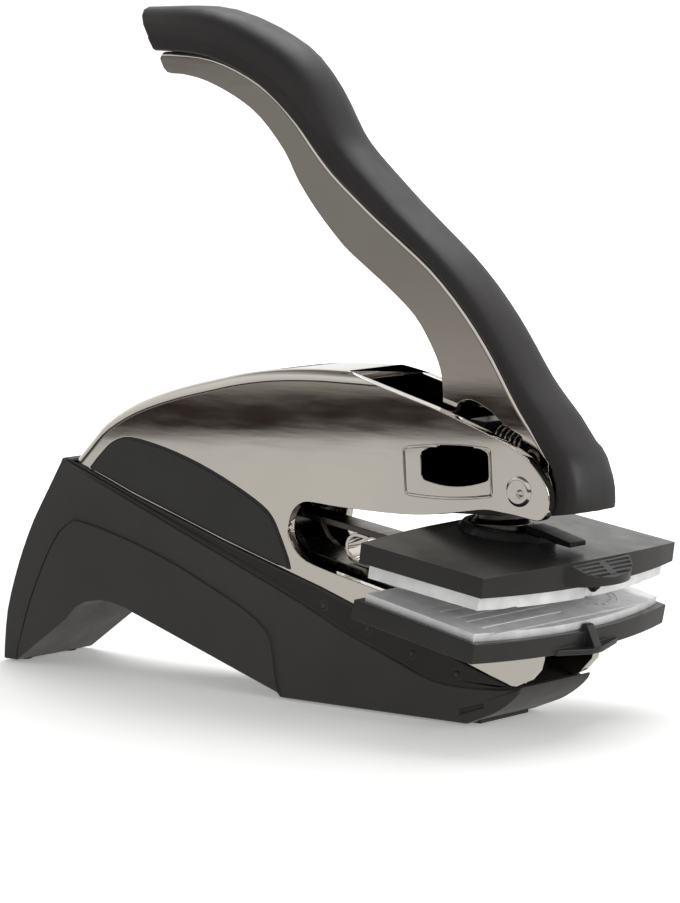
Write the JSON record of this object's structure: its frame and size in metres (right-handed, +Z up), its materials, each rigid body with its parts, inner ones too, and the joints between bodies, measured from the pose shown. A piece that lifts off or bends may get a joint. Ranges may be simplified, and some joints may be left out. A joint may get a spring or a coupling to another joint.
{
  "type": "seal embosser",
  "caption": "Desk seal embosser: nickel C-frame on a moulded arched base, sprung lever with black cover, wide hinged die holders.",
  "frame": {"origin": "on the desk plane, under the front foot's front edge, in the machine's middle plane", "axes": "+X to the front (die side), +Z up, machine symmetric about Y = 0"},
  "size_m": [0.1415, 0.06, 0.1305],
  "materials": {
    "nickel": "polished nickel plate",
    "base_plastic": "matte",
    "soft_black": "satin",
    "holder_plastic": "semi gloss",
    "steel": "zinc plated",
    "die_silver": "satin",
    "rubber": "matte"
  },
  "bodies": {
    "base": {"base_shell": "base_plastic", "front_foot_pad": "rubber", "rear_foot_pads": "rubber", "frame_channel": "nickel", "side_panel_left": "soft_black", "side_panel_right": "soft_black", "guide_block": "holder_plastic", "frame_stays": "steel", "base_screws": "steel", "pivot_rivet": "nickel", "pivot_washers": "steel", "return_spring": "steel", "lower_strap": "steel", "lower_holder": "holder_plastic", "lower_strap_rivets": "steel", "lower_die": "die_silver", "jaw_hinge_pin": "steel", "jaw_spring": "steel"},
    "handle": {"handle_channel": "nickel", "handle_cover": "soft_black", "cover_screws": "steel", "press_cam": "steel", "cam_rivet": "steel"},
    "ram": {"ram": "steel"},
    "upper_jaw": {"upper_strap": "steel", "upper_holder": "holder_plastic", "upper_strap_rivets": "steel", "keeper_leaf": "steel", "die_catch_pin": "steel", "upper_die": "die_silver"}
  },
  "joints": [
    {"name": "handle_hinge", "type": "hinge", "parent": "base", "child": "handle", "pos_m": [0.0108, 0, 0.0439], "axis": [0, -1, 0], "range_deg": [0, 20.5], "stiffness_Nm_per_rad": 1, "springref_deg": -17.19, "deforming": ["return_spring"]},
    {"name": "ram_slide", "type": "slide", "parent": "base", "child": "ram", "axis": [0, 0, -1], "range_m": [0, 0.00283]},
    {"name": "jaw_hinge", "type": "hinge", "parent": "base", "child": "upper_jaw", "pos_m": [-0.0495, 0, 0.0335], "axis": [0, 1, 0], "range_deg": [0, 3.31], "deforming": ["jaw_spring"]}
  ],
  "couplings": [
    {"joint": "ram_slide", "follows": "handle_hinge", "m_per_rad": 0.00788},
    {"joint": "jaw_hinge", "follows": "handle_hinge", "ratio": 0.161}
  ]
}
